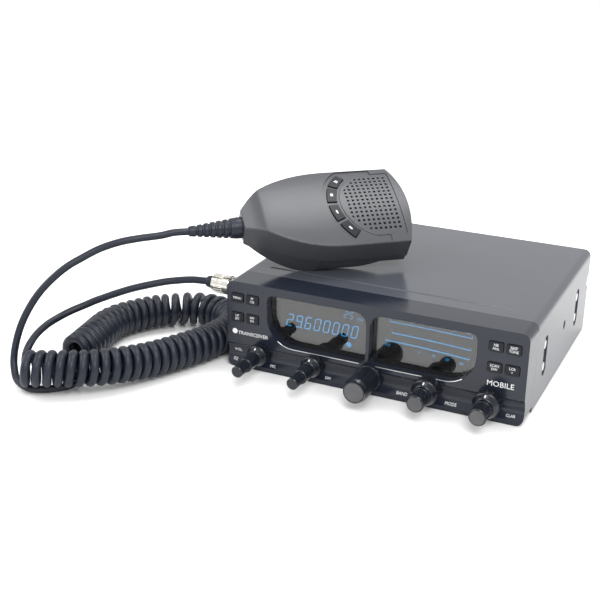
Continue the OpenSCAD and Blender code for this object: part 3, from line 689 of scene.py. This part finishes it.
class TRANSCEIVER_OT_bezel(Operator):
    """Make the moulded front bezel and the chrome strips under its windows, which paint a
    highlight on their lower edges
    """
    bl_idname = "transceiver.bezel"
    bl_label = "Front bezel"

    def execute(self, context):
        def rim(shape):
            def outer(edge):
                a, b = (v.co / MM for v in edge.verts)
                return (max(a.y, b.y) < FRONT_Y + 0.02 and min(a.z, b.z) > COVE_HIGH + 0.5
                        and (max(a.z, b.z) > CASE_H - 6 or min(abs(a.x), abs(b.x)) > 96))
            round_edges(shape, 0.9, 3, chosen=outer)
        finished("front_bezel", 0.25, 2, extra=rim)
        # The chrome strips are a painted highlight: the light caught by the windows' lower front
        # edges
        for name, side in (("window_highlight_lip_right", 1), ("window_highlight_lip_left", -1)):
            turns = [math.radians(3 * i) for i in range(13)]
            bend = [(WINDOW_OUT - HIGHLIGHT_LIP_R + HIGHLIGHT_LIP_R * math.sin(turn),
                     WINDOW_LOW + HIGHLIGHT_LIP_R - HIGHLIGHT_LIP_R * math.cos(turn)) for turn in turns]
            line = [Vector((WINDOW_MID + side * x, FRONT_Y + 0.1, z - 0.1)) * MM
                    for x, z in [(WINDOW_IN + 4, WINDOW_LOW), *bend]]
            lip = tube_mesh(name, line, 0.5 * MM, "lip_chrome")
            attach(lip, "radio")
        return {"FINISHED"}


# ---- Displays ----

SEGMENTS = {"0": "abcdef", "1": "bc", "2": "abged", "3": "abgcd", "4": "fgbc", "5": "afgcd",
            "6": "afgecd", "7": "abc", "8": "abcdefg", "9": "abfgcd"}
# A segment's middle in half widths and half heights of a digit, and whether it stands
SEGMENT_PLACES = {"a": (0, 1, 0), "b": (1, 0.5, 1), "c": (1, -0.5, 1), "d": (0, -1, 0),
                  "e": (-1, -0.5, 1), "f": (-1, 0.5, 1), "g": (0, 0, 0)}
# Each scale's left end, right end, height, drop and thickness
SCALES = [(10, 63, 48.4, 1.2, 0.55), (12, 62.5, 41.0, 1.8, 0.7), (8, 62, 35.4, 2.4, 0.8)]
# The figures along the scales: words, x and height
SCALE_WORDS = [
    ("S", 10, 51.4), ("1", 17, 51.4), ("3", 24, 51.3), ("5", 31, 51.2), ("7", 38, 51.1),
    ("9", 45, 50.9), ("20", 52, 50.6), ("40", 60, 50.2), ("PO", 9, 32.4), ("1", 20, 31.6),
    ("5", 30, 31.4), ("10", 39, 31.0), ("20", 48, 30.3), ("30", 57, 29.4)]


def add_digit(shape, digit, x, z, wide, high, out, thick):
    """Adds a slanted seven-segment digit to the shape, in millimetres."""
    lean = Matrix(((1, 0.2, 0, 0), (0, 1, 0, 0), (0, 0, 1, 0), (0, 0, 0, 1)))
    for name in SEGMENTS[digit]:
        px, pz, stands = SEGMENT_PLACES[name]
        size = (thick, high / 2 - 0.25, 0.12) if stands else (wide - 0.25, thick, 0.12)
        place = (on_front(x, z, out) @ lean
                 @ Matrix.Translation((px * wide / 2, pz * high / 2, 0)))
        add_block(shape, place, size, thick * 0.42)


def add_scale(shape, x0, x1, z, drop, thick, out):
    """Adds a thin scale line that falls by the drop towards its right end."""
    made = bmesh.ops.create_grid(shape, x_segments=14, y_segments=1, size=0.5)
    verts = made["verts"]
    for v in verts:
        share = v.co.x + 0.5
        v.co = Vector((x0 + (x1 - x0) * share, v.co.y * thick - drop * share * share, 0))
    bmesh.ops.transform(shape, matrix=on_front(0, z, out), verts=verts)


class TRANSCEIVER_OT_displays(Operator):
    """Make the smoked windows, the display glass and the lit figures"""
    bl_idname = "transceiver.displays"
    bl_label = "Displays"

    def execute(self, context):
        for node in ("lens_left", "lens_right"):
            finished(node, 0.15)
        for node in ("display_left", "display_right"):
            finished(node, 0.3)
        inside = FRONT_Y - DISPLAY_Y + 0.08
        lit = bmesh.new()
        words = context.scene.transceiver.front.frequency
        for i, digit in enumerate(words):
            add_digit(lit, digit, -58.4 + i * 6.45, 36.6, 3.7, 8.0, inside, 0.75)
        add_block(lit, on_front(-50.2, 32.4, inside), (0.9, 0.9, 0.12))
        add_block(lit, on_front(-17.0, 27.2, inside), (3.4, 3.4, 0.12), 1.0)
        keep(in_metres(lit), "frequency_digits", "radio", "lit_figures")
        small = bmesh.new()
        for i, digit in enumerate("25"):
            add_digit(small, digit, -19.4 + i * 3.6, 47.5, 2.0, 4.4, inside, 0.5)
        add_words(small, "FM", 2.2, on_front(-10, 45.5, inside), slant=0.2)
        keep(in_metres(small), "channel_digits", "radio", "dim_figures")
        scales = bmesh.new()
        for x0, x1, z, drop, thick in SCALES:
            add_scale(scales, x0, x1, z, drop, thick, inside)
            for i in range(21):
                share = i / 20
                tall = 1.9 if i % 5 == 0 else 0.9
                place = on_front(x0 + (x1 - x0) * share,
                                 z - drop * share * share + tall / 2, inside)
                add_block(scales, place, (0.3, tall, 0.1))
        for words, x, z in SCALE_WORDS:
            add_words(scales, words, 1.9, on_front(x, z, inside), slant=0.2)
        keep(in_metres(scales), "meter_scales", "radio", "lit_figures")
        return {"FINISHED"}


# ---- Lettering and keys ----

def cove_depth(z):
    """How far the front face lies back at that height, in the cove under the windows."""
    if not COVE_LOW < z < COVE_HIGH:
        return 0.0
    return math.sqrt(COVE_R ** 2 - (z - COVE_MID) ** 2) - COVE_R + COVE_DEEP


LABELS = [
    ("VOL", -93.0, 11.2, 2.0), ("SQ", -94.4, 4.9, 1.8), ("MIC", -66.9, 4.6, 1.7),
    ("RF", -47.3, 4.6, 1.7), ("DIM", -27.6, 4.6, 1.6), ("BAND", 22.8, 4.8, 1.9),
    ("MODE", 54.6, 4.8, 1.9), ("CLAR", 92.0, 5.2, 1.7), ("TRANSCEIVER", -81.0, 24.6, 2.5),
    ("MOBILE", 84.5, 24.8, 3.6)]


class TRANSCEIVER_OT_labels(Operator):
    """Print the lettering on the front"""
    bl_idname = "transceiver.labels"
    bl_label = "Lettering"

    def execute(self, context):
        shape = bmesh.new()
        for words, x, z, height in LABELS:
            add_words(shape, words, height, on_front(x, z, 0.06))
        add_block(shape, on_front(3.3, 15.6, 0.06), (3.8, 1.7, 0.1), 0.4)
        add_turned(shape, [(0, 0), (1.9, 0), (1.9, 0.12), (1.2, 0.12), (0, 0.12)],
                   on_front(-94.3, 25.2, -0.06), 24)
        for v in shape.verts:
            v.co.y += cove_depth(v.co.z)
        keep(in_metres(shape), "front_lettering", "radio", "white_ink",
             level=False)
        return {"FINISHED"}


KEY_WORDS = [["MENU"], ["M", "CH"], ["UP", "SET"], ["AM", "FM"], ["NB", "ANL"],
             ["BEEP", "TONE"], ["SCAN", "DW"], ["LCR", "+"]]
LINE_STEP = 2.3


class TRANSCEIVER_OT_keys(Operator):
    """Make the eight front keys and their legends"""
    bl_idname = "transceiver.keys"
    bl_label = "Front keys"

    def execute(self, context):
        places = [(x, z) for side in (0, 2) for z in KEY_ROWS for x in KEY_COLS[side:side + 2]]
        for number, ((x, z), lines) in enumerate(zip(places, KEY_WORDS), 1):
            node = f"key_{number}"
            finished(node, 0.35, 3)
            legend = bmesh.new()
            for i, words in enumerate(lines):
                up = (len(lines) - 1) / 2 * LINE_STEP - i * LINE_STEP
                add_words(legend, words, 1.75, on_front(x, z + up, KEY_PROUD - 0.03),
                          stretch=0.9)
            keep(in_metres(legend), f"key_{number}_legend", BODY[node],
                 "white_ink", level=False)
        return {"FINISHED"}


# ---- Knobs ----

class TRANSCEIVER_OT_knobs(Operator):
    """Make the knobs, their grey discs and white marks at the top of the rings' shoulders"""
    bl_idname = "transceiver.knobs"
    bl_label = "Knobs"

    def execute(self, context):
        for node in ("volume_knob", "squelch_ring", "mic_gain_knob", "rf_gain_ring",
                     "channel_knob", "band_ring", "mode_knob", "fine_ring",
                     "clarifier_knob"):
            finished(node, 0.18, 2, sharper_than=28)
        finished("channel_spindle", 0.2)
        for name, knob, x, radius, out in (
                ("channel_disc", "channel_knob", KNOB_XS[2], 6.3, 27),
                ("mode_disc", "mode_knob", KNOB_XS[3], 4.6, 25),
                ("clarifier_disc", "clarifier_knob", KNOB_XS[4], 4.6, 25)):
            disc = bmesh.new()
            add_turned(disc, [(0, -0.2), (radius, -0.2), (radius, 0.03), (radius - 0.15, 0.12),
                              (0, 0.12)], on_knob(x) @ Matrix.Translation((0, 0, out)))
            keep(in_metres(disc), name, BODY[knob], "disc_grey")
        # The marks lie on the rings' sloping shoulders
        lean = math.atan2(2.9, 1.4)
        for name, ring, x, radius, out, long in (
                ("squelch_mark", "squelch_ring", KNOB_XS[0], 5.75, 8.1, 1.9),
                ("rf_gain_mark", "rf_gain_ring", KNOB_XS[1], 5.75, 8.1, 1.9),
                ("band_mark", "band_ring", KNOB_XS[3], 7.25, 10.0, 2.2),
                ("fine_mark", "fine_ring", KNOB_XS[4], 7.25, 10.0, 2.2)):
            mark = bmesh.new()
            place = (on_knob(x) @ Matrix.Translation((0, radius, out))
                     @ Matrix.Rotation(-lean, 4, "X"))
            add_block(mark, place, (0.9, long, 0.2), 0.3)
            keep(in_metres(mark), name, BODY[ring], "white_ink")
        return {"FINISHED"}


# ---- Connections ----

class TRANSCEIVER_OT_connections(Operator):
    """Make the microphone plug and socket and the rear connections"""
    bl_idname = "transceiver.connections"
    bl_label = "Connections"

    def execute(self, context):
        for node, width in (("mic_socket", 0.2), ("mic_plug", 0.3), ("plug_collar", 0.25),
                            ("plug_boot", 0.4), ("antenna_socket", 0.25),
                            ("power_inlet", 0.3), ("jack_sockets", 0.3)):
            finished(node, width)
        return {"FINISHED"}


# ---- Inside ----

class TRANSCEIVER_OT_inside(Operator):
    """Make the boards, the loudspeaker and the control bodies"""
    bl_idname = "transceiver.inside"
    bl_label = "Inside"

    def execute(self, context):
        for node in ("front_board", "main_board", "speaker_frame", "speaker_cone",
                     "speaker_magnet", "control_bodies", "mic_element", "handset_board"):
            finished(node, 0.15, 1)
        return {"FINISHED"}


# ---- Microphone ----

def crown_height(y):
    """Height of the microphone's face at that distance from its middle line."""
    return math.sqrt(MIC_CROWN_R ** 2 - y * y) - MIC_CROWN_R + MIC_CROWN_H


def on_face(x, y, turn=0.0, proud=0.0):
    """A place on the microphone's crowned face, square to the surface."""
    lean = math.asin(y / MIC_CROWN_R)
    return (ON_MIC @ Matrix.Translation((x, y, crown_height(y) + proud))
            @ Matrix.Rotation(-lean, 4, "X") @ Matrix.Rotation(math.radians(turn), 4, "Z"))


class TRANSCEIVER_OT_microphone(Operator):
    """Make the microphone's shells, grille, lever and strain relief"""
    bl_idname = "transceiver.microphone"
    bl_label = "Microphone"

    def execute(self, context):
        rim_width = context.scene.transceiver.handset.rim / MM
        from_case = (TO_METRES @ ON_MIC).inverted()

        def rim(shape):
            def outer(edge):
                spots = [from_case @ v.co for v in edge.verts]
                level = [abs((from_case.to_3x3() @ f.normal).normalized().z)
                         for f in edge.link_faces]
                return (min(level) < 0.3 and max(level) > 0.5
                        and all(p.z > 9 and outside(p) for p in spots))
            round_edges(shape, rim_width, 4, sharper_than=30, chosen=outer, clamp=False)

        finished("handset_front_shell", 0.3, 2, extra=rim)
        finished("handset_rear_shell", 0.4, 2)

        def plate_rim(shape):
            def on_rim(edge):
                spots = [from_case @ v.co for v in edge.verts]
                return all(p.z > 12.5 and (abs(p.y) > 27.7 or p.x > GRILLE_X + 11.2
                                           or math.hypot(p.x - GRILLE_X, p.y) > 29.2)
                           for p in spots)
            round_edges(shape, 0.45, 2, chosen=on_rim, clamp=False)

        finished("grille_plate", 0.1, 1, extra=plate_rim)
        finished("strain_relief", 0.3, 2)
        finished("ptt_lever", 0.5, 3)
        finished("hang_stud", 0.4, 2)
        finished("handset_screws", 0.15, 2)
        return {"FINISHED"}


def outside(p):
    """Whether a point of the microphone's own frame is on its outline."""
    near = 0.3
    if p.x > NOSE_LENGTH:
        from_side = abs(p.y) - MIC_HALF
    else:
        from_side = math.hypot(p.x - NOSE_LENGTH, abs(p.y) + NOSE_R - MIC_HALF) - NOSE_R
    from_end = math.hypot(p.x - MIC_LENGTH + END_R, p.y) - END_R
    return abs(from_side) < near or abs(from_end) < near or p.x < near


class TRANSCEIVER_OT_microphone_keys(Operator):
    """Make the microphone's four keys and their marks"""
    bl_idname = "transceiver.microphone_keys"
    bl_label = "Microphone keys"

    def execute(self, context):
        for number, angle in enumerate(MIC_KEY_ANGLES, 1):
            node = f"handset_key_{number}"
            finished(node, 0.9, 4)
            mark = bmesh.new()
            x = GRILLE_X - MIC_KEY_R * math.cos(math.radians(angle))
            y = -MIC_KEY_R * math.sin(math.radians(angle))
            place = on_face(x, y, angle, 0.2)
            if number == 1:
                bmesh.ops.create_circle(mark, cap_ends=True, radius=1.6, segments=3,
                                        matrix=place @ Matrix.Translation((0, 0, 0.05)))
                add_block(mark, place @ Matrix.Translation((1.2, 0, 0)), (0.5, 2.8, 0.1))
            elif number == 2:
                add_block(mark, place, (2.0, 2.6, 0.1), 0.3)
            else:
                add_block(mark, place, (1.2, 3.0, 0.1), 0.3)
            keep(in_metres(mark), f"handset_key_{number}_mark", BODY[node],
                 "white_ink", level=False)
        return {"FINISHED"}


# ---- Stage ----

# Where the camera stands and looks, in millimetres, and its roll in degrees
EYE = (227.857, -680.858, 315.590)
TARGET = (-48.366, -83.486, 54.669)
CAMERA_ROLL = 0.87
# Name, place, aim and size in metres, and power in watts
LIGHTS = [("key_light", (0.7, -1.0, 1.5), (0, 0, 0.03), 0.9, 20),
          ("top_light", (0.02, 0.3, 1.15), (-0.06, -0.03, 0.1), 0.5, 6),
          ("fill_light", (-1.3, -0.5, 1.1), (0, 0, 0.03), 1.0, 10)]


class TRANSCEIVER_OT_stage(Operator):
    """Set the floor, the soft light and the camera, and mix the finishes"""
    bl_idname = "transceiver.stage"
    bl_label = "Stage"

    def execute(self, context):
        s = context.scene.transceiver.stage
        context.scene.view_settings.view_transform = "Standard"
        mix_finishes()
        paper = Finish("floor_paper", Roughness=0.85, Specular_IOR_Level=0.2)
        tone = paper.noise(300, 2)
        paper.set("Base Color", paper.blend(tint(s.floor_tone, 0.985), tint(s.floor_tone),
                                            tone))
        shape = bmesh.new()
        bmesh.ops.create_grid(shape, x_segments=8, y_segments=8, size=6.0,
                              matrix=Matrix.Translation((0, 0, -0.0003)))
        mesh = bpy.data.meshes.new("floor")
        shape.to_mesh(mesh)
        shape.free()
        mesh.materials.append(paper.material)
        floor = bpy.data.objects.new("floor", mesh)
        context.scene.collection.objects.link(floor)
        world = bpy.data.worlds.new("studio")
        world.use_nodes = True
        world.node_tree.nodes["Background"].inputs["Color"].default_value = (1, 1, 1, 1)
        world.node_tree.nodes["Background"].inputs["Strength"].default_value = s.sky
        context.scene.world = world
        for name, place, aim, size, power in LIGHTS:
            light = bpy.data.lights.new(name, "AREA")
            light.size = size
            light.energy = power
            lamp = bpy.data.objects.new(name, light)
            context.scene.collection.objects.link(lamp)
            lamp.location = place
            lamp.rotation_euler = (Vector(aim) - Vector(place)).to_track_quat(
                "-Z", "Y").to_euler()
        eye = Vector(EYE) * MM
        target = Vector(TARGET) * MM
        roll = math.radians(CAMERA_ROLL)
        back = (eye - target).normalized()
        level = Vector((0, 0, 1)).cross(back).normalized()
        upward = back.cross(level)
        right = level * math.cos(roll) + upward * math.sin(roll)
        top = upward * math.cos(roll) - level * math.sin(roll)
        camera = bpy.data.cameras.new("camera")
        camera.lens = s.lens
        camera.sensor_width = 36
        camera.clip_start = 0.01
        view = bpy.data.objects.new("camera", camera)
        context.scene.collection.objects.link(view)
        view.matrix_world = Matrix((
            (right.x, top.x, back.x, eye.x), (right.y, top.y, back.y, eye.y),
            (right.z, top.z, back.z, eye.z), (0, 0, 0, 1)))
        context.scene.camera = view
        return {"FINISHED"}


class TRANSCEIVER_PT_panel(Panel):
    """Lists the pieces of the transceiver"""
    bl_idname = "TRANSCEIVER_PT_panel"
    bl_label = "Mobile transceiver"
    bl_space_type = "VIEW_3D"
    bl_region_type = "UI"
    bl_category = "Transceiver"

    def draw(self, context):
        settings = context.scene.transceiver
        for group in ("stage", "case", "front", "handset", "cord"):
            box = self.layout.box()
            values = getattr(settings, group)
            for key in values.__annotations__:
                box.prop(values, key)
        for step in STEPS:
            self.layout.operator(step.bl_idname)


STEPS = [TRANSCEIVER_OT_stage, TRANSCEIVER_OT_cord, TRANSCEIVER_OT_case,
         TRANSCEIVER_OT_bezel, TRANSCEIVER_OT_displays, TRANSCEIVER_OT_labels,
         TRANSCEIVER_OT_keys, TRANSCEIVER_OT_knobs, TRANSCEIVER_OT_connections,
         TRANSCEIVER_OT_inside, TRANSCEIVER_OT_microphone, TRANSCEIVER_OT_microphone_keys]
GROUPS = [StageSettings, CaseSettings, FrontSettings, HandsetSettings, CordSettings,
          TransceiverSettings]


def register():
    for kind in (*GROUPS, *STEPS, TRANSCEIVER_PT_panel):
        bpy.utils.register_class(kind)
    bpy.types.Scene.transceiver = PointerProperty(type=TransceiverSettings)


def unregister():
    del bpy.types.Scene.transceiver
    for kind in reversed((*GROUPS, *STEPS, TRANSCEIVER_PT_panel)):
        bpy.utils.unregister_class(kind)


def main():
    register()
    for step in STEPS:
        if getattr(bpy.ops.transceiver, step.bl_idname.split(".")[1])() != {"FINISHED"}:
            raise RuntimeError(step.bl_label + " wasn't made")


if __name__ == "__main__":
    main()
